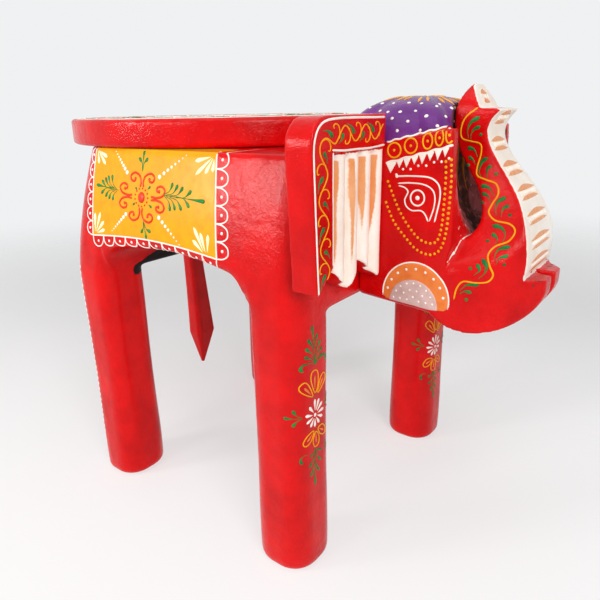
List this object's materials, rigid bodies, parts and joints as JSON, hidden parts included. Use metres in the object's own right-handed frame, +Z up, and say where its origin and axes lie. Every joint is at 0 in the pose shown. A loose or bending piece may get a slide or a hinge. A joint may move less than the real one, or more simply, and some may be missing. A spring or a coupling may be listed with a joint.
{
  "type": "stool",
  "caption": "Low carved and painted elephant stool with an oval seat board, squared legs, slab ears with carved pleats and a raised trunk.",
  "frame": {"origin": "on the floor, below the middle of the overall length and width", "axes": "+X towards the trunk, +Z up, +Y the elephant's left"},
  "size_m": [0.4132, 0.2514, 0.3175],
  "materials": {
    "painted_wood": "gloss enamel, hand painted",
    "bare_wood": "bare mango wood"
  },
  "bodies": {
    "root": {"seat_board": "painted_wood", "torso_block": "painted_wood", "leg_front_right": "painted_wood", "leg_front_left": "painted_wood", "leg_rear_right": "painted_wood", "leg_rear_left": "painted_wood", "head_block": "painted_wood", "trunk": "painted_wood", "ear_right": "painted_wood", "ear_left": "painted_wood", "tail": "painted_wood", "seat_dowels": "bare_wood", "head_dowels": "bare_wood", "ear_dowels_right": "bare_wood", "ear_dowels_left": "bare_wood", "trunk_dowels": "bare_wood", "tail_dowel": "bare_wood"}
  },
  "joints": []
}
